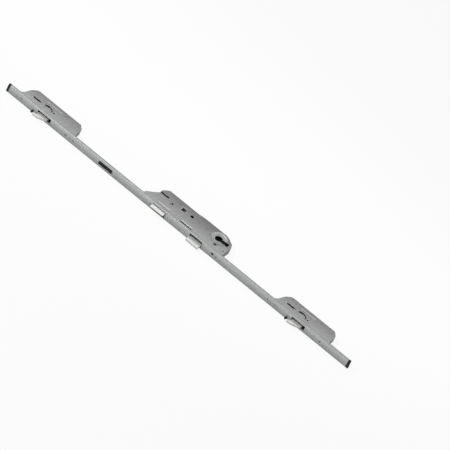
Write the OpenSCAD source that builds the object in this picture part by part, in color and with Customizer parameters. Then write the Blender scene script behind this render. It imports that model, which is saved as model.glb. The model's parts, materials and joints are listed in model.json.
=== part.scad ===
// Multipoint door lock: a U-section faceplate rail carrying a main lock case and
// two hook boxes. Frame: +Z up along the door edge, the faceplate front faces -Y,
// the cases reach into the door along +Y, and the covers face +X.
// Origin: faceplate front, on its centre line, at spindle height.
// The pose is the locked one: hooks, deadbolt and latch are out.

/* [Rail] */
// Width of the faceplate rail
rail_w = 20; // [19.6:0.2:24]
// Depth of the U section, front face to flange edge
rail_depth = 5; // [4.9:0.1:6]
// Sheet thickness of the rail
rail_t = 1.8; // [1.5:0.1:1.9]
// Outside bend radius of the U section
rail_bend = 2; // [1:0.1:2.4]
// Rail end above the upper hook's pivot
rail_top_tail = 83.5; // [80:0.5:250]
// Rail end below the lower hook's pivot
rail_bottom_tail = 136.5; // [106:0.5:700]
// Length of an end cap past the rail
cap_len = 5.3; // [4:0.1:8]
// Height above the spindle of the blanked window's middle
window_z = 174.5; // [150:0.5:200]
// Length of the blanked window
window_len = 35; // [20:0.5:40]
// Width of the blanked window
window_w = 9; // [6:0.5:11]

/* [Cases] */
// Gap between a case's side and the rail's flange
case_gap = 0.45; // [0.3:0.05:0.6]
// Thickness of the case plates
plate_t = 1.5; // [1.2:0.1:1.6]
// Thickness of the walls folded round the cases
wall_t = 1.3; // [1:0.1:1.6]

/* [Main case] */
// Faceplate front to spindle and cylinder axis
backset = 40; // [40:0.5:42]
// Spindle axis down to cylinder axis
cylinder_drop = 92; // [91.5:0.5:93]
// Square of the handle spindle
spindle_sq = 10; // [8:0.5:10]
// Radius of the follower's bearing in the plates
follower_r = 8.75; // [8.3:0.05:9.5]
// Handle screw hole below the spindle
handle_hole_drop = 21.5; // [20.5:0.5:22]
// Radius of the handle screw hole
handle_hole_r = 3.75; // [3:0.05:4]
// Barrel radius of the Euro-profile hole
cylinder_r = 8.5; // [8.5:0.05:8.8]
// Leg width of the Euro-profile hole
cylinder_leg_w = 10; // [10:0.1:10.6]
// Cylinder axis to the bottom of the leg
cylinder_leg_len = 24.5; // [24.5:0.1:25]
// Cylinder axis down to the cylinder fixing screw
cylinder_screw_drop = 15; // [13:0.5:16]

/* [Bolts] */
// Latch head past the faceplate
latch_reach = 10.5; // [8:0.5:11]
// Thickness of the latch head
latch_t = 7; // [6:0.1:7.4]
// Height of the latch head
latch_h = 32.6; // [28:0.1:32.8]
// Middle of the latch above the spindle
latch_z = 34.5; // [34:0.1:34.8]
// Deadbolt past the faceplate
deadbolt_reach = 12.5; // [8:0.5:13]
// Thickness of the deadbolt
deadbolt_t = 5.8; // [4:0.1:6.2]
// Height of the deadbolt
deadbolt_h = 31; // [28:0.1:31.4]
// Middle of the deadbolt below the spindle
deadbolt_drop = 63; // [62.6:0.1:63.4]
// Travel of the drive slides from locked to open
stroke = 18; // [17:0.5:18]

/* [Hooks] */
// Height of the upper hook's pivot above the spindle
hook_z = 345.5; // [341:0.5:348]
// Distance between the two hook pivots
hook_pitch = 670; // [640:1:680]
// Faceplate front to the hook pivot
pivot_y = 12; // [11.9:0.1:12.2]
// Thickness of a hook
hook_t = 4.9; // [4:0.1:5.2]
// Radius of the pivot stud
pivot_r = 3; // [2.5:0.1:3.4]
// Turn of a hook from locked to open
hook_swing = 100; // [99:1:104]
// Depth of a hook box from the faceplate front
hook_case_depth = 43; // [42:0.5:50]

/* [Clearances] */
// Radial clearance of running pins
run_gap = 0.04; // [0.02:0.01:0.08]
// Radial clearance of fixed screws and rivets
fix_gap = 0.05; // [0.02:0.01:0.1]
// Side clearance of sliding parts
slide_gap = 0.3; // [0.2:0.05:0.4]

/* [Hidden] */
$fn = 48;
eps = 0.01;

case_t = rail_w - 2 * (rail_t + case_gap);  // thickness of the cases over both plates
inner_x = case_t / 2 - plate_t;      // half the clear width inside a case
lower_hook_z = hook_z - hook_pitch;  // height of the lower hook's pivot
rail_top = hook_z + rail_top_tail;   // rail ends above and below the spindle
rail_bottom = rail_bottom_tail - lower_hook_z;
cylinder_z = -cylinder_drop;
deadbolt_z = -deadbolt_drop;
through = case_t + 20;               // length of a cut that passes right through

// Door screw holes in the rail, each at the foot of a hook box
hook_foot_low = -81.5;               // ends of a hook box, from its pivot
hook_foot_high = 62;
door_hole_high = hook_z + hook_foot_low - 5;
door_hole_low = lower_hook_z + hook_foot_high + 7.5;

// Drive slides: plates standing on edge beside the bolts
slide_t = 2;
slide_x = inner_x - slide_t - 0.85;
slide_front = rail_t + 0.5;          // front edge of the slides, behind the rail's web
slide_back = backset - 12;           // back edge of the main slide
slide_web = slide_back - 8;          // front edge of the main slide beside the latch
slide_top = 59;                      // where the main slide narrows to its finger
slide_low = cylinder_z - 20;
finger_back = rail_depth - 0.2;      // back edge of a slide's finger inside the rail
bar_w = 2 * (inner_x - slide_gap);
bar_t = 2.5;
bar_y = rail_t + slide_gap;          // front face of the drive bars
link_len = 12;                       // slide finger inside the bar's notch
link_pin_r = 0.8;
upper_bar_low = slide_top + 3;
upper_bar_high = door_hole_high - 23;
lower_bar_high = slide_low - 38;
lower_bar_low = door_hole_low + 5;

// Case outlines as [depth, height] points, counter-clockwise from the front foot
main_depth = backset + 21;
MAIN_OUTLINE = [[rail_t, cylinder_z - 31.8], [backset, cylinder_z - 31.8],
    [backset + 9.5, cylinder_z - 27], [backset + 18.3, cylinder_z - 12.6],
    [main_depth, cylinder_z - 5], [main_depth - 0.4, -40],
    [main_depth - 2.7, -25], [main_depth - 2.7, 49], [main_depth - 5.6, 53.7],
    [backset + 8, 59.5], [backset + 5, 61.4], [backset - 5.2, 61.4], [backset - 6.7, 62.8],
    [23, 71.1], [14.2, 80.4], [6.9, 82.6], [rail_t, 83.2]];
HOOK_OUTLINE = [[rail_t, hook_foot_low], [8, hook_foot_low], [hook_case_depth - 9, -79],
    [hook_case_depth, -70.5], [hook_case_depth, 38], [hook_case_depth - 1.7, 42.7],
    [hook_case_depth - 8.8, 49.1], [hook_case_depth - 14.1, 52.2], [14.2, 56.5],
    [8.3, hook_foot_high - 0.5], [rail_t, hook_foot_high]];
mouth_depth = 7;                     // openings for the bars at both ends of a case

// Screw places along the rail, from the spindle
main_screw_z = 55.9;
main_low_screw_z = cylinder_z - 25;
hook_screw_high = 51.5;              // from a hook's pivot
hook_screw_low = -65.5;
screw_r = 2;
screw_head_r = 3.3;
screw_head_h = 1.6;
screw_len = 9;
lug_len = 8;                         // height of a threaded lug
lug_depth = 8.2;
lug_x = slide_x - 0.4;               // side of a lug next to the slides
door_hole_r = 2.6;
door_sink_r = 4.2;
cylinder_hole_r = 2.75;

// Latch and follower
latch_side = inner_x - 0.65;         // flat side of the latch head, towards the cover
latch_slot_w = 2 * (latch_side + 1);
latch_slot_h = latch_h + 1.4;
latch_travel = latch_reach + 0.5;
follower_turn = 35;
arm_len = latch_travel / (2 * sin(follower_turn / 2));
arm_pin_r = 2.5;
arm_pin_gap = 0.2;
hub_r = follower_r + 1.45;
tail_x = 0.45 - inner_x;
tail_t = 3;
arm_x = tail_x + tail_t + 0.3;       // follower's arm, beside the tail
tail_y = 5.5;                        // back of the latch head
arm_pin_y = backset - arm_len * sin(follower_turn / 2);
arm_pin_z = arm_len * cos(follower_turn / 2);
tail_low = arm_pin_z - 6.4;
tail_high = 33;
spring_seat_y = backset - 5.2;
spring_z = 42;
latch_spring_len = spring_seat_y - tail_y - latch_travel - 0.4;  // as pressed by a drawn latch

// Deadbolt and its drive
deadbolt_x = 0.75 - inner_x;
deadbolt_slot = [deadbolt_x - 0.2, inner_x + 0.65];  // sides of its slot in the rail
deadbolt_slot_h = deadbolt_h + 1;
deadbolt_travel = deadbolt_reach + 0.3;
deadbolt_pin_y = 10;
deadbolt_pin_r = 3;
deadbolt_back = 15;

// Hook and its drive
hook_x = -4.1;
hook_slot = [hook_x - 0.1, inner_x - 0.25];  // sides of its slot in the rail
hook_slot_high = 8.5;                // slot ends, from the pivot
hook_slot_low = -25;
crank_r = 12.35;                     // pivot to drive pin
crank_angle = -68;                   // drive pin in the locked pose, from +Y towards +Z
crank_pin_r = 2.2;
crank_pin_x = inner_x + 0.95;
crank_slot_gap = 0.1;
arc_slot_r = crank_pin_r + slide_gap;
guide_y = 20.1;
guide_z = 17.5;                      // guide pin above the pivot in the locked pose
guide_pin_r = 2;
stud_x = 4 - rail_w / 2;
stud_z = 19.5;
stud_r = 2.2;
stud_len = 4.6;

steel = "silver";
bright = "gainsboro";
dark = "dimgray";
black = "black";

// Outlines in the YZ plane are drawn as 2D shapes and pushed out along X
module slab(x0, x1) {
    translate([x0, 0, 0])
        rotate([90, 0, 90])
            linear_extrude(x1 - x0)
                children();
}

// Round bar along X
module x_rod(y, z, r, x0, x1) {
    translate([x0, y, z])
        rotate([0, 90, 0])
            cylinder(r = r, h = x1 - x0);
}

// Round bar along Y, with a second radius for a cone
module y_rod(x, z, r, y0, y1, r_end) {
    translate([x, y0, z])
        rotate([-90, 0, 0])
            cylinder(r1 = r, r2 = is_undef(r_end) ? r : r_end, h = y1 - y0);
}

// Block given by its two corners
module block(low, high) {
    translate(low)
        cube(high - low);
}

function arc_points(cy, cz, r, a0, a1, n) =
    [for (i = [0:n]) let (a = a0 + (a1 - a0) * i / n) [cy + r * cos(a), cz + r * sin(a)]];

// An outline moved inwards by d, each corner at the crossing of its moved edges
function unit(v) = v / norm(v);
function left_of(v) = [-v[1], v[0]];
function inset(points, d) =
    let (n = len(points))
    [for (i = [0:n - 1])
        let (before = unit(points[i] - points[(i + n - 1) % n]),
            after = unit(points[(i + 1) % n] - points[i]),
            bisector = left_of(before) + left_of(after))
        points[i] + bisector * 2 * d / (bisector * bisector)];

// Springs: one tube wound from straight end to straight end
spring_sides = 6;
spring_rings = 8;
function frame_right(t) = unit(cross(t, abs(t[2]) < 0.9 ? [0, 0, 1] : [1, 0, 0]));
function coil_points(r, length, turns, wire) =
    let (lead = 0.75 * wire)
    concat([[r, 0, 0]],
        [for (i = [0:turns * spring_rings])
            let (a = 360 * i / spring_rings)
            [r * cos(a), r * sin(a), lead + (length - 2 * lead) * i / (turns * spring_rings)]],
        [[r, 0, length]]);
module tube(points, r) {
    n = len(points);
    tangents = [for (i = [0:n - 1])
        unit(points[min(i + 1, n - 1)] - points[max(i - 1, 0)])];
    rings = [for (i = [0:n - 1])
        let (radial = unit([points[i][0], points[i][1], 0]),
            up = unit(cross(tangents[i], radial)),
            side = cross(up, tangents[i]))
        for (k = [0:spring_sides - 1])
            let (a = 360 * k / spring_sides)
            points[i] + r * (cos(a) * side + sin(a) * up)];
    start_cap = [for (k = [1:spring_sides - 2]) [0, k + 1, k]];
    last = (n - 1) * spring_sides;
    end_cap = [for (k = [1:spring_sides - 2]) [last, last + k, last + k + 1]];
    walls = [for (i = [0:n - 2])
        for (k = [0:spring_sides - 1])
            let (a = i * spring_sides + k,
                b = i * spring_sides + (k + 1) % spring_sides,
                c = a + spring_sides,
                d = b + spring_sides)
            each [[a, b, c], [b, d, c]]];
    polyhedron(rings, concat(start_cap, walls, end_cap), convexity = 6);
}
module coil_spring(r, length, turns, wire) {
    echo(coil_gap = (length - 1.5 * wire) / turns - wire);
    tube(coil_points(r, length, turns, wire), wire / 2);
}

// Rail

module rail_section() {
    difference() {
        union() {
            translate([-rail_w / 2 + rail_bend, 0])
                square([rail_w - 2 * rail_bend, rail_depth]);
            translate([-rail_w / 2, rail_bend])
                square([rail_w, rail_depth - rail_bend]);
            for (side = [-1, 1])
                translate([side * (rail_w / 2 - rail_bend), rail_bend])
                    circle(r = rail_bend);
        }
        translate([-rail_w / 2 + rail_t, rail_t])
            square([rail_w - 2 * rail_t, rail_depth]);
    }
}

// Hole for a countersunk screw in the rail's web
module sunk_hole(z, r, head_r, head_h) {
    y_rod(0, z, r, -1, rail_t + 1);
    y_rod(0, z, head_r + eps, -eps, head_h, r);
}

module web_slot(x0, x1, z0, z1) {
    block([x0, -1, z0], [x1, rail_t + 1, z1]);
}

screw_places = [main_screw_z, main_low_screw_z,
    hook_z + hook_screw_high, hook_z + hook_screw_low,
    lower_hook_z + hook_screw_high, lower_hook_z + hook_screw_low];

// Small blind dimples in the rail's front: side and height
DIMPLES = [[-1, -128], [-3.5, -23],
    for (z = [hook_z, lower_hook_z], rel = [62, -76]) [-1.5, z + rel]];

module faceplate() {
    color(steel)
    difference() {
        translate([0, 0, -rail_bottom])
            linear_extrude(rail_bottom + rail_top)
                rail_section();
        web_slot(-window_w / 2, window_w / 2, window_z - window_len / 2, window_z + window_len / 2);
        web_slot(-latch_slot_w / 2, latch_slot_w / 2,
            latch_z - latch_slot_h / 2, latch_z + latch_slot_h / 2);
        web_slot(deadbolt_slot[0], deadbolt_slot[1],
            deadbolt_z - deadbolt_slot_h / 2, deadbolt_z + deadbolt_slot_h / 2);
        for (z = [hook_z, lower_hook_z])
            web_slot(hook_slot[0], hook_slot[1], z + hook_slot_low, z + hook_slot_high);
        for (z = screw_places)
            sunk_hole(z, screw_r + fix_gap, screw_head_r + 0.2, screw_head_h);
        for (z = [door_hole_high, door_hole_low])
            sunk_hole(z, door_hole_r, door_sink_r, 1);
        sunk_hole(cylinder_z - cylinder_screw_drop, cylinder_hole_r, 4, 0.8);
        for (place = DIMPLES)
            y_rod(place[0], place[1], 1.1, -1, 0.9);
        y_rod(0, latch_screw_z, latch_screw_r + fix_gap, -1, rail_t + 1);
        for (z = [hook_z, lower_hook_z])
            y_rod(stud_x, z + stud_z, stud_shank_r + fix_gap, -1, rail_t + 1);
    }
}

// Cap that closes a rail end, with a plug inside the U
module end_cap() {
    plug_x = rail_w / 2 - rail_t - fix_gap;
    color(black)
    union() {
        linear_extrude(cap_len)
            union() {
                translate([-rail_w / 2 + rail_bend, 0])
                    square([rail_w - 2 * rail_bend, rail_depth]);
                translate([-rail_w / 2, rail_bend])
                    square([rail_w, rail_depth - rail_bend]);
                for (side = [-1, 1])
                    translate([side * (rail_w / 2 - rail_bend), rail_bend])
                        circle(r = rail_bend);
            }
        block([-plug_x, rail_t + fix_gap, -8], [plug_x, rail_depth, eps]);
    }
}

module top_end_cap() {
    translate([0, 0, rail_top])
        end_cap();
}

module bottom_end_cap() {
    translate([0, 0, -rail_bottom])
        mirror([0, 0, 1])
            end_cap();
}

// Black plastic blank clipped into the unused window of the rail
module window_blank() {
    half_w = window_w / 2 - fix_gap;
    half_len = window_len / 2 - fix_gap;
    color(black)
    difference() {
        block([-half_w, 0.4, window_z - half_len], [half_w, rail_t, window_z + half_len]);
        block([-half_w + 1, -1, window_z - half_len + 1], [half_w - 1, 0.9, window_z + half_len - 1]);
    }
}

// Countersunk screws that hold the cases to the rail
module rail_screws() {
    color(bright)
    for (z = screw_places)
        difference() {
            union() {
                y_rod(0, z, screw_r, 0.1, screw_len);
                y_rod(0, z, screw_head_r, 0.1, screw_head_h, screw_r);
            }
            for (turn = [0, 90])
                translate([0, 0.6, z])
                    rotate([0, turn + 20, 0])
                        cube([3.2, 2.2, 0.9], center = true);
        }
}

// Small stud in the faceplate that keeps the door gap
stud_shank_r = 1.2;
module gap_stud(z) {
    color(black)
    union() {
        y_rod(stud_x, z + stud_z, stud_r, -stud_len, 0);
        y_rod(stud_x, z + stud_z, stud_shank_r, -eps, rail_t);
    }
}

module upper_gap_stud() {
    gap_stud(hook_z);
}

module lower_gap_stud() {
    gap_stud(lower_hook_z);
}

// Drive bars

// Step in a bar's edge for the finger of a slide, and the hole for its cross pin
module bar_notch(z_end, direction) {
    z_in = z_end + direction * (link_len + fix_gap);
    block([slide_x - fix_gap, 0, min(z_end - direction, z_in)],
        [bar_w, rail_depth + 1, max(z_end - direction, z_in)]);
    x_rod(link_pin_y, z_end + direction * link_len / 2, link_pin_r + fix_gap, 0, bar_w);
}

link_pin_y = bar_y + bar_t / 2;

module drive_bar(z_low, z_high) {
    color(steel)
    difference() {
        block([-bar_w / 2, bar_y, z_low], [bar_w / 2, bar_y + bar_t, z_high]);
        bar_notch(z_low, 1);
        bar_notch(z_high, -1);
    }
}

module upper_drive_bar() {
    drive_bar(upper_bar_low, upper_bar_high);
}

module lower_drive_bar() {
    drive_bar(lower_bar_low, lower_bar_high);
}

module bar_link_pins() {
    half = link_len / 2;
    color(dark)
    for (z = [upper_bar_low + half, upper_bar_high - half, lower_bar_low + half, lower_bar_high - half])
        x_rod(link_pin_y, z, link_pin_r, fix_gap, slide_x + slide_t + 0.2);
}

// Lock cases

// Plate and folded wall of a case, open at the front and towards the cover
module case_shell(outline) {
    difference() {
        slab(-case_t / 2, inner_x)
            polygon(outline);
        slab(-inner_x, inner_x + 1)
            polygon(inset(outline, wall_t));
        block([-inner_x, -1, -200], [inner_x + 1, mouth_depth, 200]);
    }
}

// Threaded lug for a case screw
module lug(z) {
    block([-inner_x - eps, rail_t, z - lug_len / 2], [lug_x, lug_depth, z + lug_len / 2]);
}

module lug_hole(z) {
    y_rod(0, z, screw_r + fix_gap, -1, lug_depth + 1);
}

// Stepped rivets: a spacer between the plates and a head on each plate
rivet_r = 2.6;
rivet_shank_r = 1.7;
rivet_head_r = 2.7;
rivet_head_h = 0.5;
module rivet(place) {
    x_rod(place[0], place[1], rivet_r, -inner_x, inner_x);
    x_rod(place[0], place[1], rivet_shank_r, -case_t / 2 - eps, case_t / 2 + eps);
    if (place[2])
        for (side = [-1, 1])
            translate([side * (case_t / 2 + rivet_head_h / 2), place[0], place[1]])
                rotate([0, 90, 0])
                    cylinder(r = rivet_head_r, h = rivet_head_h, center = true);
}

module rivet_holes(places) {
    for (place = places)
        x_rod(place[0], place[1], rivet_shank_r + fix_gap, -through, through);
}

// Each rivet: depth, height, and whether it has a raised head
MAIN_RIVETS = [[backset + 14, -31.5, true], [backset + 3.6, -59.5, true],
    [backset - 7, 55, false], [backset + 13, 45, false],
    [30.5, cylinder_z - 24.5, false], [12.5, cylinder_z - 24.5, false]];

guide_rib_t = 2;
module deadbolt_rib(side) {
    z = deadbolt_z + side * (deadbolt_h / 2 + slide_gap + guide_rib_t / 2);
    block([-inner_x - eps, 6, z - guide_rib_t / 2], [1, 27, z + guide_rib_t / 2]);
}

// The Euro-profile hole: a round barrel with a leg below
module cylinder_cut() {
    x_rod(backset, cylinder_z, cylinder_r, -through, through);
    block([-through, backset - cylinder_leg_w / 2, cylinder_z - cylinder_leg_len],
        [through, backset + cylinder_leg_w / 2, cylinder_z]);
}

follower_seat_z = -26;
module main_case_shell() {
    color(steel)
    difference() {
        union() {
            case_shell(MAIN_OUTLINE);
            lug(main_screw_z);
            lug(main_low_screw_z);
            for (side = [-1, 1])
                deadbolt_rib(side);
            block([-inner_x - eps, spring_seat_y, spring_z - 5],
                [lug_x - 0.3, spring_seat_y + 2, spring_z + 5]);
            block([-inner_x - eps, backset + 9, follower_seat_z - 2],
                [4, backset + 17.5, follower_seat_z]);
            block([-inner_x - eps, detent_root - 3, detent_z - 2.4],
                [slide_x - fix_gap, main_depth - 3.2, detent_z + 2.4]);
        }
        lug_hole(main_screw_z);
        lug_hole(main_low_screw_z);
        rivet_holes(MAIN_RIVETS);
        cylinder_cut();
        x_rod(backset, 0, follower_r + run_gap, -through, 0);
        x_rod(backset, -handle_hole_drop, handle_hole_r, -through, 0);
    }
}

cylinder_ring_r = 18.2;
cover_opening_r = cylinder_ring_r + fix_gap;
window_low = 39.3;
module main_case_cover() {
    color(steel)
    difference() {
        union() {
            slab(inner_x, case_t / 2)
                polygon(MAIN_OUTLINE);
            slab(case_t / 2 - eps, case_t / 2 + 0.7)
                polygon([[10.4, 16], [13.8, 18], [13.8, 45], [10.4, 47.5]]);
            slab(case_t / 2 - eps, case_t / 2 + 1)
                polygon([[9.7, -44], [13.2, -42], [13.2, -14.5], [9.7, -12.5]]);
        }
        block([0, 13.9, 17], [through, 14.5, 46]);
        block([0, 7.9, -43], [through, 9.5, -13.5]);
        rivet_holes(MAIN_RIVETS);
        x_rod(backset, cylinder_z, cover_opening_r, -1, through);
        cylinder_cut();
        x_rod(backset, 0, follower_r + run_gap, 0, through);
        x_rod(backset, -handle_hole_drop, handle_hole_r, 0, through);
        block([0, backset - 3, window_low], [through, backset + 1.5, 70]);
        x_rod(backset + 8, 15, 1.3, 0, through);
        x_rod(backset - 10.2, 27.3, 1.6, 0, through);
        x_rod(backset - 7.3, 24.7, 2.2, 0, through);
        x_rod(backset - 21.2, cylinder_z - 5, 3.7, 0, through);
        block([0, 16.5, cylinder_z - 28], [through, 20, cylinder_z - 25.8]);
    }
}

module main_case_rivets() {
    color(bright)
    for (place = MAIN_RIVETS)
        rivet(place);
}

// Dished ring set in the cover, with a low collar round the profile hole
dish_r = 14.4;                       // floor of the dish
dish_floor_x = case_t / 2 - 0.95;
module cylinder_ring() {
    rim_x = case_t / 2 + dish_rim;
    color(bright)
    difference() {
        union() {
            difference() {
                x_rod(backset, cylinder_z, cylinder_ring_r, dish_floor_x - 1, rim_x);
                translate([dish_floor_x, backset, cylinder_z])
                    rotate([0, 90, 0])
                        cylinder(r1 = dish_r, r2 = cylinder_ring_r, h = rim_x - dish_floor_x + 0.2);
            }
            difference() {
                x_rod(backset, cylinder_z, collar_r, dish_floor_x - 0.5, dish_floor_x + 0.6);
                x_rod(backset, cylinder_z, collar_r - 1.6, 0, through);
            }
        }
        cylinder_cut();
    }
}
dish_rim = 0.5;                      // rim of the dish above the cover
collar_r = 12.6;

// Leaf spring riveted to the back wall, its nose just over the slide's edge
detent_z = -38;
detent_y = slide_back + 0.3;
detent_root = backset + 17.6;
module detent_spring() {
    bend = [detent_y + 1.6, detent_z];
    color(bright)
    slab(slide_x, slide_x + slide_t)
        difference() {
            union() {
                translate(bend)
                    circle(r = 1.6);
                polygon([bend + [0, -1.4], [detent_root - 3, detent_z - 0.4], [detent_root, detent_z - 0.4],
                    [detent_root, detent_z + 0.4], [detent_root - 3, detent_z + 0.4], bend + [0, -0.6]]);
            }
            translate(bend)
                circle(r = 0.8);
        }
}

// Latch

latch_screw_z = 9.7;
latch_screw_r = 3.7;
latch_nose = 1.4;
module latch_head() {
    x0 = latch_side - latch_t;
    color(bright)
    translate([0, 0, latch_z - latch_h / 2])
        linear_extrude(latch_h)
            polygon([[latch_side, -latch_reach], [latch_side - latch_nose, -latch_reach],
                [x0, -0.6], [x0, tail_y], [latch_side, tail_y]]);
}

module latch_tail() {
    color(steel)
    difference() {
        union() {
            slab(tail_x, tail_x + tail_t)
                polygon([[tail_y, tail_high], [tail_y, latch_z - latch_h / 2 + 2],
                    [arm_pin_y - 8, tail_low + 4], [arm_pin_y - 5.5, tail_low],
                    [arm_pin_y + 6, tail_low], [arm_pin_y + 6, arm_pin_z + 7],
                    [arm_pin_y - 4, tail_high]]);
            block([tail_x, tail_y, 22], [2.5, tail_y + 2.5, tail_high]);
        }
        block([tail_x - 1, arm_pin_y - arm_pin_r - arm_pin_gap, tail_low + 2.4],
            [tail_x + tail_t + 1, arm_pin_y + arm_pin_r + arm_pin_gap, arm_pin_z + arm_pin_r + 1.6]);
    }
}

latch_spring_r = 2.9;
latch_spring_wire = 0.9;
module latch_spring() {
    color(bright)
    translate([-0.3, tail_y + fix_gap, spring_z])
        rotate([-90, 0, 0])
            coil_spring(latch_spring_r, latch_spring_len, 8, latch_spring_wire);
}

// Screw that sets how far the latch stands out
module latch_screw() {
    color(bright)
    difference() {
        y_rod(0, latch_screw_z, latch_screw_r, 0.1, 7);
        y_rod(0, latch_screw_z, 1.6, -1, 1.6);
    }
}

// Follower: the square-holed hub that the handle turns, with the arm that draws the latch
lobe_len = 13.6;
lobe_r = 2;
lobe_y = backset + lobe_len * cos(follower_turn / 2);
lobe_z = lobe_len * sin(follower_turn / 2);
module follower_hub() {
    nose_r = 4;
    color(steel)
    difference() {
        union() {
            x_rod(backset, 0, follower_r, -case_t / 2, case_t / 2);
            x_rod(backset, 0, hub_r, arm_x, 3);
            slab(arm_x, 0)
                polygon([[backset - hub_r + 0.6, 3], [arm_pin_y - nose_r, arm_pin_z],
                    [arm_pin_y + nose_r, arm_pin_z + 1.2], [backset + 3, 10]]);
            x_rod(arm_pin_y, arm_pin_z, nose_r, arm_x, 0);
            x_rod(arm_pin_y, arm_pin_z, arm_pin_r, tail_x - 0.1, arm_x + eps);
            slab(-2.5, 2.5)
                polygon([[backset + 8, lobe_z - lobe_r], [lobe_y, lobe_z - lobe_r],
                    [lobe_y, lobe_z + lobe_r], [backset + 6, 8]]);
            x_rod(lobe_y, lobe_z, lobe_r, -2.5, 2.5);
        }
        block([-through, backset - spindle_sq / 2, -spindle_sq / 2],
            [through, backset + spindle_sq / 2, spindle_sq / 2]);
    }
}

follower_spring_r = 2.45;
module follower_spring() {
    color(bright)
    translate([0, backset + lobe_len, follower_seat_z])
        coil_spring(follower_spring_r, lobe_z - lobe_r - fix_gap - follower_seat_z, 10, 0.9);
}

// Deadbolt

module deadbolt() {
    chamfer = 1;
    x1 = deadbolt_x + deadbolt_t;
    color(bright)
    difference() {
        translate([0, 0, deadbolt_z - deadbolt_h / 2])
            linear_extrude(deadbolt_h)
                polygon([[deadbolt_x, -deadbolt_reach + chamfer / 2],
                    [deadbolt_x + chamfer / 2, -deadbolt_reach], [x1 - chamfer / 2, -deadbolt_reach],
                    [x1, -deadbolt_reach + chamfer / 2], [x1, deadbolt_back], [deadbolt_x, deadbolt_back]]);
        x_rod(deadbolt_pin_y, deadbolt_z, deadbolt_pin_r + fix_gap, -through, through);
    }
}

module deadbolt_drive_pin() {
    color(dark)
    x_rod(deadbolt_pin_y, deadbolt_z, deadbolt_pin_r, deadbolt_x, slide_x + slide_t + 0.3);
}

// Slot with round ends between two points of the YZ plane
module round_slot(a, b, r) {
    along = unit(b - a);
    side = left_of(along) * r;
    translate(a)
        circle(r = r);
    translate(b)
        circle(r = r);
    polygon([a + side, a - side, b - side, b + side]);
}

cam_y = slide_back - 3.7;            // front of the circle that the key's cam sweeps
cam_notch_z = cylinder_z - stroke / 2;
cam_notch_h = 8.4;
main_finger_high = upper_bar_low + link_len;
main_finger_low = lower_bar_high - link_len;
module main_slide() {
    arm_low = latch_z + latch_slot_h / 2 + 1.1;
    color(steel)
    slab(slide_x, slide_x + slide_t)
        difference() {
            polygon([[slide_front, main_finger_low], [finger_back, main_finger_low],
                [finger_back, slide_low], [slide_back, slide_low],
                [slide_back, cam_notch_z - cam_notch_h / 2], [cam_y, cam_notch_z - cam_notch_h / 2],
                [cam_y, cam_notch_z + cam_notch_h / 2], [slide_back, cam_notch_z + cam_notch_h / 2],
                [slide_back, slide_top - 13], [slide_web, slide_top - 5.5],
                [slide_web - 7, slide_top], [finger_back, slide_top],
                [finger_back, main_finger_high], [slide_front, main_finger_high],
                [slide_front, arm_low], [slide_web - 3.2, arm_low], [slide_web, arm_low - 4.1],
                [slide_web, -14], [4, -14], [4, slide_low + 14], [slide_front, slide_low + 14]]);
            round_slot([deadbolt_pin_y, deadbolt_z],
                [deadbolt_pin_y + deadbolt_travel, deadbolt_z - stroke], deadbolt_pin_r + 0.1);
            for (z = [upper_bar_low + link_len / 2, lower_bar_high - link_len / 2])
                translate([link_pin_y, z])
                    circle(r = link_pin_r + fix_gap);
        }
}

// Hook boxes, drawn about the pivot's height

HOOK_RIVETS = [[hook_case_depth - 6, 15, true], [hook_case_depth - 5.5, -39, true],
    [hook_case_depth - 12, 44, false], [hook_case_depth - 12, -70, false]];

// Each hook box has a foot inside the rail, at the end where the door screw goes through
foot_in = 3;                         // overlap of the foot with the box
module hook_shell(foot_z, foot_end) {
    color(steel)
    difference() {
        union() {
            case_shell(HOOK_OUTLINE);
            lug(hook_screw_high);
            lug(hook_screw_low);
            block([-case_t / 2, rail_t, min(foot_z, foot_end)],
                [lug_x, finger_back, max(foot_z, foot_end)]);
        }
        lug_hole(hook_screw_high);
        lug_hole(hook_screw_low);
        rivet_holes(HOOK_RIVETS);
        x_rod(pivot_y, 0, pivot_r + fix_gap, -through, 0);
        for (z = [door_hole_high - hook_z, door_hole_low - lower_hook_z])
            y_rod(0, z, door_hole_r + 0.25, 0, rail_depth);
    }
}

// Band of the plate that the drive pin sweeps as the hook turns
module crank_arc() {
    n = 16;
    a0 = crank_angle;
    a1 = crank_angle + hook_swing;
    polygon(concat(
        arc_points(pivot_y, 0, crank_r + arc_slot_r, a0, a1, n),
        arc_points(pivot_y, 0, crank_r - arc_slot_r, a1, a0, n)));
    for (a = [a0, a1])
        translate([pivot_y + crank_r * cos(a), crank_r * sin(a)])
            circle(r = arc_slot_r);
}

rib_h = 0.6;
module hook_cover() {
    rib_y = hook_case_depth - 10.3;
    color(steel)
    difference() {
        union() {
            slab(inner_x, case_t / 2)
                polygon(HOOK_OUTLINE);
            slab(case_t / 2 - eps, case_t / 2 + rib_h)
                polygon([[rib_y - 2.5, 16.5], [rib_y - 1, 16.5], [rib_y + 0.8, 13],
                    [rib_y + 0.8, -29], [rib_y - 0.8, -29], [rib_y - 0.8, 12]]);
        }
        slab(0, through)
            crank_arc();
        slab(0, through)
            round_slot([guide_y, guide_z], [guide_y, guide_z + stroke], guide_pin_r + slide_gap / 2);
        x_rod(18, -17.5, 1.8, 0, through);
        rivet_holes(HOOK_RIVETS);
    }
}

module hook_rivets() {
    color(bright)
    for (place = HOOK_RIVETS)
        rivet(place);
}

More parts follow.
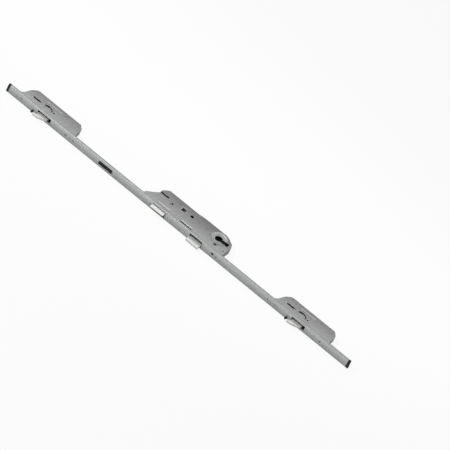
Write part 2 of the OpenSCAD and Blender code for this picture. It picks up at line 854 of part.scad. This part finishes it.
// Hook blade: a finger over a throat, a back that widens to the tip, and a crank lobe
throat_z = 6.7;
finger_y = -8.2;
back_r = 21.4;
tip_r = 26.6;
boss_r = 7;
module hook_blade() {
    crank = [pivot_y + crank_r * cos(crank_angle), crank_r * sin(crank_angle)];
    color(bright)
    difference() {
        slab(hook_x, hook_x + hook_t)
            polygon(concat(
                arc_points(finger_y + 2, throat_z + 2, 2, 180, 260, 4),
                [[0, throat_z]],
                arc_points(pivot_y, 0, boss_r, 100, 0, 8),
                arc_points(crank[0], crank[1], 4.6, 10, -90, 8),
                [[2, -18.2]],
                arc_points(pivot_y, 0, back_r, 232, 196, 8),
                [for (k = [1:3]) arc_points(pivot_y, 0, back_r + 0.95 * k, 196 - 10 * k, 0, 1)[0]],
                arc_points(pivot_y, 0, tip_r, 155, 151, 2),
                [[finger_y - 0.6, 13]]));
        x_rod(pivot_y, 0, pivot_r + run_gap, -through, through);
        x_rod(crank[0], crank[1], crank_pin_r + fix_gap, -through, through);
    }
}

// Shouldered stud riveted into the shell, with a head over the hook
module hook_pivot_stud() {
    color(dark)
    union() {
        x_rod(pivot_y, 0, pivot_r, -case_t / 2, hook_x + hook_t + 0.2);
        x_rod(pivot_y, 0, pivot_r + 1.6, hook_x + hook_t + 0.2, hook_x + hook_t + 1.2);
        x_rod(pivot_y, 0, pivot_r + 1.4, -inner_x, hook_x - 0.2);
    }
}

module hook_crank_pin() {
    color(dark)
    x_rod(pivot_y + crank_r * cos(crank_angle), crank_r * sin(crank_angle), crank_pin_r,
        hook_x, crank_pin_x);
}

// Where the drive pin is in the slide's own frame after travel s of the slide
function crank_path(s) =
    let (a = crank_angle + hook_swing * s / stroke)
    [pivot_y + crank_r * cos(a), crank_r * sin(a) - s];

// Slot that holds the pin over that whole path: its outer wall follows the path at the
// pin's radius, and a straight wall closes it
module crank_slot() {
    n = 24;
    r = crank_pin_r + crank_slot_gap;
    function outward(s) =
        -left_of(unit(crank_path(s + 0.01) - crank_path(s - 0.01))) * r;
    polygon(concat(
        [for (i = [0:n]) crank_path(stroke * i / n) + outward(stroke * i / n)],
        [crank_path(0) - outward(0)]));
    translate(crank_path(0))
        circle(r = r);
    translate(crank_path(stroke))
        circle(r = r);
}

slide_edge = pivot_y + 17;
slide_foot = -21;
hook_slide_high = 40;                // free ends of the hook slides
hook_slide_low = -60;
module hook_slide_plate(z_low, z_high) {
    color(steel)
    slab(slide_x, slide_x + slide_t)
        difference() {
            polygon([[slide_front, z_low], [finger_back, z_low], [finger_back, -52], [8, -48],
                [8, -36], [17, slide_foot], [slide_edge, slide_foot], [slide_edge, -4],
                [guide_y + 4.4, 2], [guide_y + 4.4, guide_z + 4.5], [guide_y - 4.6, guide_z + 4.5],
                [8, guide_z + 8.5], [8, 30], [finger_back, 34], [finger_back, z_high],
                [slide_front, z_high], [slide_front, hook_slot_high + 3], [6, hook_slot_high + 1],
                [6, hook_slot_low - 1], [slide_front, hook_slot_low - 3]]);
            crank_slot();
            translate([guide_y, guide_z])
                circle(r = guide_pin_r + fix_gap);
            if (z_low < -100)
                translate([link_pin_y, z_low + link_len / 2])
                    circle(r = link_pin_r + fix_gap);
            if (z_high > 80)
                translate([link_pin_y, z_high - link_len / 2])
                    circle(r = link_pin_r + fix_gap);
        }
}

module slide_guide_pin() {
    color(dark)
    x_rod(guide_y, guide_z, guide_pin_r, slide_x, crank_pin_x);
}

module at_upper() {
    translate([0, 0, hook_z])
        children();
}

module at_lower() {
    translate([0, 0, lower_hook_z])
        children();
}

module upper_hook_shell() {
    at_upper()
        hook_shell(hook_foot_low + foot_in, door_hole_high - hook_z - 4.4);
}

module upper_hook_cover() { at_upper() hook_cover(); }
module upper_hook_rivets() { at_upper() hook_rivets(); }
module upper_hook() { at_upper() hook_blade(); }
module upper_hook_pivot() { at_upper() hook_pivot_stud(); }
module upper_hook_drive_pin() { at_upper() hook_crank_pin(); }
module upper_hook_slide() { at_upper() hook_slide_plate(upper_bar_high - link_len - hook_z, hook_slide_high); }
module upper_slide_guide_pin() { at_upper() slide_guide_pin(); }
module lower_hook_shell() {
    at_lower()
        hook_shell(hook_foot_high - foot_in, door_hole_low - lower_hook_z + 4.4);
}

module lower_hook_cover() { at_lower() hook_cover(); }
module lower_hook_rivets() { at_lower() hook_rivets(); }
module lower_hook() { at_lower() hook_blade(); }
module lower_hook_pivot() { at_lower() hook_pivot_stud(); }
module lower_hook_drive_pin() { at_lower() hook_crank_pin(); }
module lower_hook_slide() { at_lower() hook_slide_plate(hook_slide_low, lower_bar_low + link_len - lower_hook_z); }
module lower_slide_guide_pin() { at_lower() slide_guide_pin(); }

faceplate();
top_end_cap();
bottom_end_cap();
window_blank();
rail_screws();
upper_drive_bar();
lower_drive_bar();
bar_link_pins();
main_case_shell();
main_case_cover();
main_case_rivets();
cylinder_ring();
latch_head();
latch_tail();
latch_spring();
latch_screw();
follower_hub();
follower_spring();
deadbolt();
deadbolt_drive_pin();
main_slide();
detent_spring();
upper_hook_shell();
upper_hook_cover();
upper_hook_rivets();
upper_hook();
upper_hook_pivot();
upper_hook_drive_pin();
upper_hook_slide();
upper_slide_guide_pin();
upper_gap_stud();
lower_hook_shell();
lower_hook_cover();
lower_hook_rivets();
lower_hook();
lower_hook_pivot();
lower_hook_drive_pin();
lower_hook_slide();
lower_slide_guide_pin();
lower_gap_stud();
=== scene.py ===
import json
import math

import bpy
from mathutils import Matrix, Vector


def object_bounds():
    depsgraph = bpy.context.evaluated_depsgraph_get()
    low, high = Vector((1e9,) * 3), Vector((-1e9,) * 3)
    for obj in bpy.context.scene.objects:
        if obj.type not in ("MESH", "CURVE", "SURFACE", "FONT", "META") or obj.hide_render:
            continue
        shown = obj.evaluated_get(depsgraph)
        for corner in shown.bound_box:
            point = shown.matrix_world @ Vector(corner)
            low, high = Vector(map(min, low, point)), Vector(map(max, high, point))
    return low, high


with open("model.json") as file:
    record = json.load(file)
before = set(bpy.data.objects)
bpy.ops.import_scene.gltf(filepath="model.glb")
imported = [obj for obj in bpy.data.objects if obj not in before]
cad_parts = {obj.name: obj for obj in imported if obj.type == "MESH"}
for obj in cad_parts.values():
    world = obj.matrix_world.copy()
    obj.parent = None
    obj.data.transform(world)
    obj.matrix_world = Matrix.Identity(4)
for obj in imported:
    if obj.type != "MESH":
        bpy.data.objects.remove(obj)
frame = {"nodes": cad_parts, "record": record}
first_bounds = [list(corner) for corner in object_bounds()]
scene = bpy.context.scene

BLACK = (0.0, 0.0, 0.0, 1.0)
WHITE = (1.0, 1.0, 1.0, 1.0)

# Where materials change, in metres in the shared frame: X across the lock, Y into the door
BACK_SHADE_Y = (0.010, 0.056)                  # painted shade: the cases darken from the rail to their back edges
RAISED_HIGHLIGHT_X = (0.0080, 0.0083)              # painted highlight on ribs that stand proud of the covers
RAIL_SHEEN_X = (-0.010, 0.009)                 # painted sheen: the faceplate is paler towards its cover side
RAIL_SIDE_X = (0.0080, 0.0096)           # the rail's narrow side face starts here, and gets painted shade
RAIL_SHEEN_Y = (0.008, 0.012)                  # behind the rail that painted sheen ends
EDGE_RADIUS = 0.0007
PLASTIC_EDGE_RADIUS = 0.0004
RECESS_DEPTH = 0.010                     # how near other surfaces must be for painted shade in a recess


# Node building

class Maker:
    """Adds nodes to one material and joins them."""

    def __init__(self, name):
        self.material = bpy.data.materials.new(name)
        self.material.use_nodes = True
        self.tree = self.material.node_tree
        self.shader = self.tree.nodes["Principled BSDF"]
        self.output = self.tree.nodes["Material Output"]
        self.place = self.add("ShaderNodeTexCoord").outputs["Object"]

    def add(self, kind, **values):
        node = self.tree.nodes.new(kind)
        for name, value in values.items():
            setattr(node, name, value)
        return node

    def join(self, source, target):
        self.tree.links.new(source, target)

    def stretched(self, scale):
        node = self.add("ShaderNodeMapping")
        node.inputs["Scale"].default_value = scale
        self.join(self.place, node.inputs["Vector"])
        return node.outputs["Vector"]

    def noise(self, scale, detail=3.0, rough=0.55):
        node = self.add("ShaderNodeTexNoise")
        self.join(self.stretched(scale), node.inputs["Vector"])
        node.inputs["Scale"].default_value = 1.0
        node.inputs["Detail"].default_value = detail
        node.inputs["Roughness"].default_value = rough
        return node.outputs["Fac"]

    def cells(self, scale):
        """Grey patches with sharp borders."""
        node = self.add("ShaderNodeTexVoronoi")
        self.join(self.place, node.inputs["Vector"])
        node.inputs["Scale"].default_value = scale
        grey = self.add("ShaderNodeRGBToBW")
        self.join(node.outputs["Color"], grey.inputs["Color"])
        return grey.outputs["Val"]

    def span(self, source, low, high, from_low=0.0, from_high=1.0):
        node = self.add("ShaderNodeMapRange")
        self.join(source, node.inputs["Value"])
        node.inputs["From Min"].default_value = from_low
        node.inputs["From Max"].default_value = from_high
        node.inputs["To Min"].default_value = low
        node.inputs["To Max"].default_value = high
        return node.outputs["Result"]

    def math(self, operation, a, b):
        node = self.add("ShaderNodeMath", operation=operation)
        for socket, value in zip(node.inputs, (a, b)):
            if isinstance(value, (int, float)):
                socket.default_value = value
            else:
                self.join(value, socket)
        return node.outputs["Value"]

    def mix(self, factor, a, b, blend="MIX"):
        node = self.add("ShaderNodeMix", data_type="RGBA", blend_type=blend)
        sockets = [s for s in node.inputs if s.enabled]
        for socket, value in zip(sockets, (factor, a, b)):
            if isinstance(value, (int, float, tuple)):
                socket.default_value = value
            else:
                self.join(value, socket)
        return [s for s in node.outputs if s.enabled][0]

    def axes(self, vector):
        node = self.add("ShaderNodeSeparateXYZ")
        self.join(vector, node.inputs["Vector"])
        return node.outputs

    def times(self, tint, factor):
        return self.mix(1.0, tint, (factor, factor, factor, 1.0), "MULTIPLY")

    def edges(self, radius):
        """1 on edges and 0 on open faces, from how far the bevelled normal turns."""
        bevel = self.add("ShaderNodeBevel", samples=4)
        bevel.inputs["Radius"].default_value = radius
        normal = self.add("ShaderNodeNewGeometry").outputs["Normal"]
        dot = self.add("ShaderNodeVectorMath", operation="DOT_PRODUCT")
        self.join(bevel.outputs["Normal"], dot.inputs[0])
        self.join(normal, dot.inputs[1])
        self.bevel_normal = bevel.outputs["Normal"]
        return self.span(dot.outputs["Value"], 1.0, 0.0, 0.80, 0.995)

    def facing_x(self):
        """1 on faces towards the covers, -1 on faces towards the floor."""
        return self.axes(self.add("ShaderNodeNewGeometry").outputs["True Normal"])["X"]

    def recess(self, tint, depth, darkest):
        """Painted shade: darker where a surface lies deep in a slot or corner, from ambient
        occlusion.
        """
        node = self.add("ShaderNodeAmbientOcclusion", samples=8)
        node.inputs["Distance"].default_value = depth
        open_sky = self.span(node.outputs["AO"], darkest, 1.0, 0.32, 0.60)
        # The underside lies against the floor, which doesn't count as a slot and gets no painted
        # shade
        under = self.math("LESS_THAN", self.facing_x(), -0.5)
        return self.mix(self.math("MAXIMUM", open_sky, under), BLACK, tint)

    def bump(self, height, strength, distance):
        node = self.add("ShaderNodeBump")
        node.inputs["Strength"].default_value = strength
        node.inputs["Distance"].default_value = distance
        self.join(height, node.inputs["Height"])
        self.join(self.bevel_normal, node.inputs["Normal"])
        self.join(node.outputs["Normal"], self.shader.inputs["Normal"])


def shade(colour, factor):
    """The colour made darker or paler, with alpha 1."""
    return tuple(min(1.0, c * factor) for c in colour[:3]) + (1.0,)


# Noise scales along X, Y and Z: grain runs along the axis with the small one
ROLLED = (900.0, 900.0, 25.0)
ROLLED_CASE = (700.0, 700.0, 40.0)
ACROSS = (900.0, 25.0, 900.0)
CAST = (500.0, 500.0, 500.0)


def metal(name, colour, rough, grain=ROLLED, metallic=0.6, spangle=0.0, edge_wear_and_highlight=1.2, tone=0.08,
          back_shade=1.0, cover_side_sheen=0.0, recess_depth=RECESS_DEPTH):
    """Plated steel: cloudy tone, fine grain, zinc spangle, paler edges and darker recesses.

    The paler edges are partly rubbing and partly a painted highlight. The darker recesses are
    painted shade. A shade factor below 1 is for the cases: painted shade darkens them towards
    their back edges, their ribs get a painted highlight and their side walls painted shade.
    A sheen factor above 0 is for the faceplate: a painted sheen makes it paler towards its
    cover side, and its narrow side face gets painted shade.
    """
    m = Maker(name)
    clouds = m.noise((22.0, 22.0, 9.0), 4.0)
    fine = m.noise(grain, 2.0)
    mottled = m.noise((160.0, 160.0, 120.0), 3.0)
    cloudy = m.span(clouds, 0.0, 1.0, 0.3, 0.7)
    tint = m.mix(cloudy, shade(colour, 1 - tone), shade(colour, 1 + tone))
    tint = m.mix(m.span(fine, 0.0, 0.22), tint, shade(colour, 0.72))
    if back_shade < 1.0:
        # Painted shade: darker from the rail towards the back edges
        point = m.axes(m.place)
        tint = m.mix(m.span(point["Y"], 0.0, 1.0, *BACK_SHADE_Y), tint, m.times(tint, back_shade))
        # Painted highlight: raised ribs and rivet heads made paler, in mottled patches
        raised = m.span(point["X"], 0.0, 1.0, *RAISED_HIGHLIGHT_X)
        rib_highlight = m.math("MULTIPLY", raised, m.span(mottled, 0.6, 1.0))
        tint = m.mix(rib_highlight, tint, shade(colour, 1.75))
        # Painted shade: the shells' side walls, which don't face along X, are darkened to 0.55
        wall_shade = m.math("LESS_THAN", m.math("ABSOLUTE", m.facing_x(), 0.0), 0.4)
        tint = m.mix(wall_shade, tint, m.times(tint, 0.55))
    if cover_side_sheen:
        point = m.axes(m.place)
        front = m.span(point["X"], 1.0, 0.0, *RAIL_SIDE_X)
        # Painted sheen: paler towards the cover side, on the rail's front face only
        share = m.math("POWER", m.span(point["X"], 0.0, 1.0, *RAIL_SHEEN_X), 1.8)
        share = m.math("MULTIPLY", share, m.span(point["Y"], 1.0, 0.0, *RAIL_SHEEN_Y))
        tint = m.mix(m.math("MULTIPLY", front, share), tint, shade(colour, cover_side_sheen))
        # Painted shade: the rail's narrow side face darkened to 0.80
        tint = m.mix(front, m.times(tint, 0.80), tint)
    if spangle:
        flakes = m.mix(0.5, m.cells(240.0), shade(colour, 1.25))
        tint = m.mix(spangle, tint, flakes, "SOFT_LIGHT")
    # Partly rubbing, partly painted highlight: edges made paler in mottled patches
    edge_wear_and_highlight_mask = m.math("MULTIPLY", m.edges(EDGE_RADIUS), m.span(mottled, 0.25, 0.85))
    tint = m.mix(edge_wear_and_highlight_mask, tint, shade(colour, edge_wear_and_highlight))
    # Painted shade in slots and corners
    m.join(m.recess(tint, recess_depth, 0.02), m.shader.inputs["Base Color"])
    uneven = m.math("ADD", m.math("MULTIPLY", fine, 0.6), m.math("MULTIPLY", mottled, 0.4))
    m.join(m.span(uneven, rough - 0.07, rough + 0.09), m.shader.inputs["Roughness"])
    m.shader.inputs["Metallic"].default_value = metallic
    m.bump(m.math("ADD", fine, m.math("MULTIPLY", mottled, 0.8)), 0.25, 0.00006)
    return m.material


def plastic(name, colour, rough):
    """Moulded plastic: fine texture, slightly paler scuffed edges."""
    m = Maker(name)
    speck = m.noise((1500.0, 1500.0, 1500.0), 2.0)
    clouds = m.noise((60.0, 60.0, 40.0), 3.0)
    tint = m.mix(clouds, shade(colour, 0.8), shade(colour, 1.3))
    tint = m.mix(m.math("MULTIPLY", m.edges(PLASTIC_EDGE_RADIUS), 0.5), tint, shade(colour, 2.4))
    m.join(tint, m.shader.inputs["Base Color"])
    m.join(m.span(speck, rough - 0.08, rough + 0.1), m.shader.inputs["Roughness"])
    m.shader.inputs["Specular IOR Level"].default_value = 0.2
    m.bump(speck, 0.3, 0.00004)
    return m.material


MATERIALS = {
    "zinc_steel": metal("zinc_steel", (0.34, 0.345, 0.345), 0.38, spangle=0.25, edge_wear_and_highlight=1.05,
                        cover_side_sheen=1.75),
    "case_steel": metal("case_steel", (0.30, 0.305, 0.30), 0.42, grain=ROLLED_CASE, spangle=0.2,
                        edge_wear_and_highlight=1.6, back_shade=0.52),
    "bright_steel": metal("bright_steel", (0.76, 0.76, 0.75), 0.35, grain=ACROSS, metallic=0.3,
                          tone=0.05, recess_depth=0.006),
    "dark_steel": metal("dark_steel", (0.22, 0.22, 0.225), 0.40, grain=ACROSS),
    "spring_steel": metal("spring_steel", (0.36, 0.36, 0.36), 0.34),
    "cast_zinc": metal("cast_zinc", (0.27, 0.27, 0.275), 0.45, grain=CAST),
    "black_plastic": plastic("black_plastic", (0.013, 0.013, 0.014), 0.48),
}

slot_of = {part["node"]: part["material_slot"] for part in frame["record"]["subparts"]}
for node, thing in frame["nodes"].items():
    thing.data.materials.clear()
    thing.data.materials.append(MATERIALS[slot_of[node]])


def seen_rays(tree):
    """The Light Path node, and 1 for camera, glossy and transmission rays, which see white."""
    path = tree.nodes.new("ShaderNodeLightPath")
    seen = path.outputs["Is Camera Ray"]
    for kind in ("Is Glossy Ray", "Is Transmission Ray"):
        larger = tree.nodes.new("ShaderNodeMath")
        larger.operation = "MAXIMUM"
        tree.links.new(seen, larger.inputs[0])
        tree.links.new(path.outputs[kind], larger.inputs[1])
        seen = larger.outputs["Value"]
    return path, seen


# Floor: the lock lies on the side away from its covers, so the floor's normal is +X

FLOOR_GAP = 0.0002
FLOOR_HALF = 6.0
LIT_GREY = (0.60, 0.60, 0.60, 1.0)       # what the floor throws back on the lock
SEEN_GREY = (0.95, 0.95, 0.95, 1.0)
WHITENING = 0.89                         # share of plain white where the floor is seen


def mix_shaders(m, factor, first, second):
    node = m.add("ShaderNodeMixShader")
    if isinstance(factor, float):
        node.inputs["Fac"].default_value = factor
    else:
        m.join(factor, node.inputs["Fac"])
    m.join(first, node.inputs[1])
    m.join(second, node.inputs[2])
    return node.outputs["Shader"]


def floor_material():
    """White where it is seen from above, clear from below, and it keeps the lock's shadow."""
    m = Maker("floor")
    m.shader.inputs["Roughness"].default_value = 0.9
    path, seen = seen_rays(m.tree)
    m.join(m.mix(seen, LIT_GREY, SEEN_GREY), m.shader.inputs["Base Color"])
    facing_away = m.add("ShaderNodeNewGeometry").outputs["Backfacing"]
    # The lamp under the floor reaches the lock's underside, so shadow rays pass
    clear = m.math("MAXIMUM", facing_away, path.outputs["Is Shadow Ray"])
    white = m.add("ShaderNodeEmission")
    white.inputs["Color"].default_value = WHITE
    white.inputs["Strength"].default_value = 1.0
    plain = m.shader.outputs["BSDF"]
    whitened = mix_shaders(m, WHITENING, plain, white.outputs["Emission"])
    above = mix_shaders(m, seen, plain, whitened)
    glass = m.add("ShaderNodeBsdfTransparent").outputs["BSDF"]
    m.join(mix_shaders(m, clear, above, glass), m.output.inputs["Surface"])
    return m.material


floor_x = first_bounds[0][0] - FLOOR_GAP
corners = [(-FLOOR_HALF, -FLOOR_HALF), (FLOOR_HALF, -FLOOR_HALF),
           (FLOOR_HALF, FLOOR_HALF), (-FLOOR_HALF, FLOOR_HALF)]
mesh = bpy.data.meshes.new("floor")
mesh.from_pydata([(floor_x, y, z) for y, z in corners], [], [(0, 1, 2, 3)])
mesh.materials.append(floor_material())
floor = bpy.data.objects.new("floor", mesh)
scene.collection.objects.link(floor)


# World: white where it is seen, softer where it lights

WORLD_LIGHT = 0.20
WORLD_SEEN = 1.0

world = bpy.data.worlds.new("studio")
world.use_nodes = True
scene.world = world
tree = world.node_tree
background = tree.nodes["Background"]
background.inputs["Color"].default_value = WHITE
strength = tree.nodes.new("ShaderNodeMapRange")
tree.links.new(seen_rays(tree)[1], strength.inputs["Value"])
strength.inputs["To Min"].default_value = WORLD_LIGHT
strength.inputs["To Max"].default_value = WORLD_SEEN
tree.links.new(strength.outputs["Result"], background.inputs["Strength"])


# Camera: far away with a long lens, at the photograph's angle

FRAME = 450                              # pixels across the picture
SCALE = 505.1                            # pixels of the picture per metre
DISTANCE = 37.3
SENSOR = 36.0                            # millimetres
RAIL_SLOPE = math.radians(39.15)         # slope of the rail in the picture
ORIGIN_RIGHT, ORIGIN_BELOW = -54.5, -5.0     # the origin from the picture's centre, in pixels
FIT_ALONG, FIT_BELOW = -1.35, -0.33          # a fitted shift, along and below the rail, in pixels

right = Vector((0.3333, 0.5701, -0.7507)).normalized()
back = Vector((0.6550, -0.7127, -0.2504)).normalized()
up = back.cross(right).normalized()
right = up.cross(back).normalized()
along = right * math.cos(RAIL_SLOPE) - up * math.sin(RAIL_SLOPE)
below = -right * math.sin(RAIL_SLOPE) - up * math.cos(RAIL_SLOPE)
fit = (along * FIT_ALONG + below * FIT_BELOW) / SCALE
aim = -right * (ORIGIN_RIGHT / SCALE) + up * (ORIGIN_BELOW / SCALE) + fit
camera_data = bpy.data.cameras.new("camera")
camera_data.sensor_width = SENSOR
camera_data.lens = SENSOR * DISTANCE * SCALE / FRAME
camera_data.clip_start = 0.1
camera_data.clip_end = 80.0
camera = bpy.data.objects.new("camera", camera_data)
scene.collection.objects.link(camera)
turned = Matrix((right, up, back)).transposed().to_4x4()
camera.matrix_world = Matrix.Translation(aim + back * DISTANCE) @ turned
scene.camera = camera


# Soft lamps

def lamp(name, place, target, size, power):
    """A rectangular area lamp that looks from place to target, with its power in watts."""
    data = bpy.data.lights.new(name, "AREA")
    data.shape = "RECTANGLE"
    data.size, data.size_y = size
    data.energy = power
    thing = bpy.data.objects.new(name, data)
    scene.collection.objects.link(thing)
    thing.location = place
    thing.rotation_mode = "QUATERNION"
    thing.rotation_quaternion = (Vector(target) - Vector(place)).to_track_quat("-Z", "Y")


LOCK = (0.0, 0.02, 0.0)
lamp("key", (2.8, -1.15, 1.3), LOCK, (1.8, 1.8), 62)
lamp("strip", (0.35, 0.25, 0.0), (0.0, 0.25, 0.0), (0.3, 1.6), 1.3)
lamp("under", (-1.6, 0.85, 1.0), LOCK, (1.2, 1.2), 30)

scene.view_settings.view_transform = "Standard"
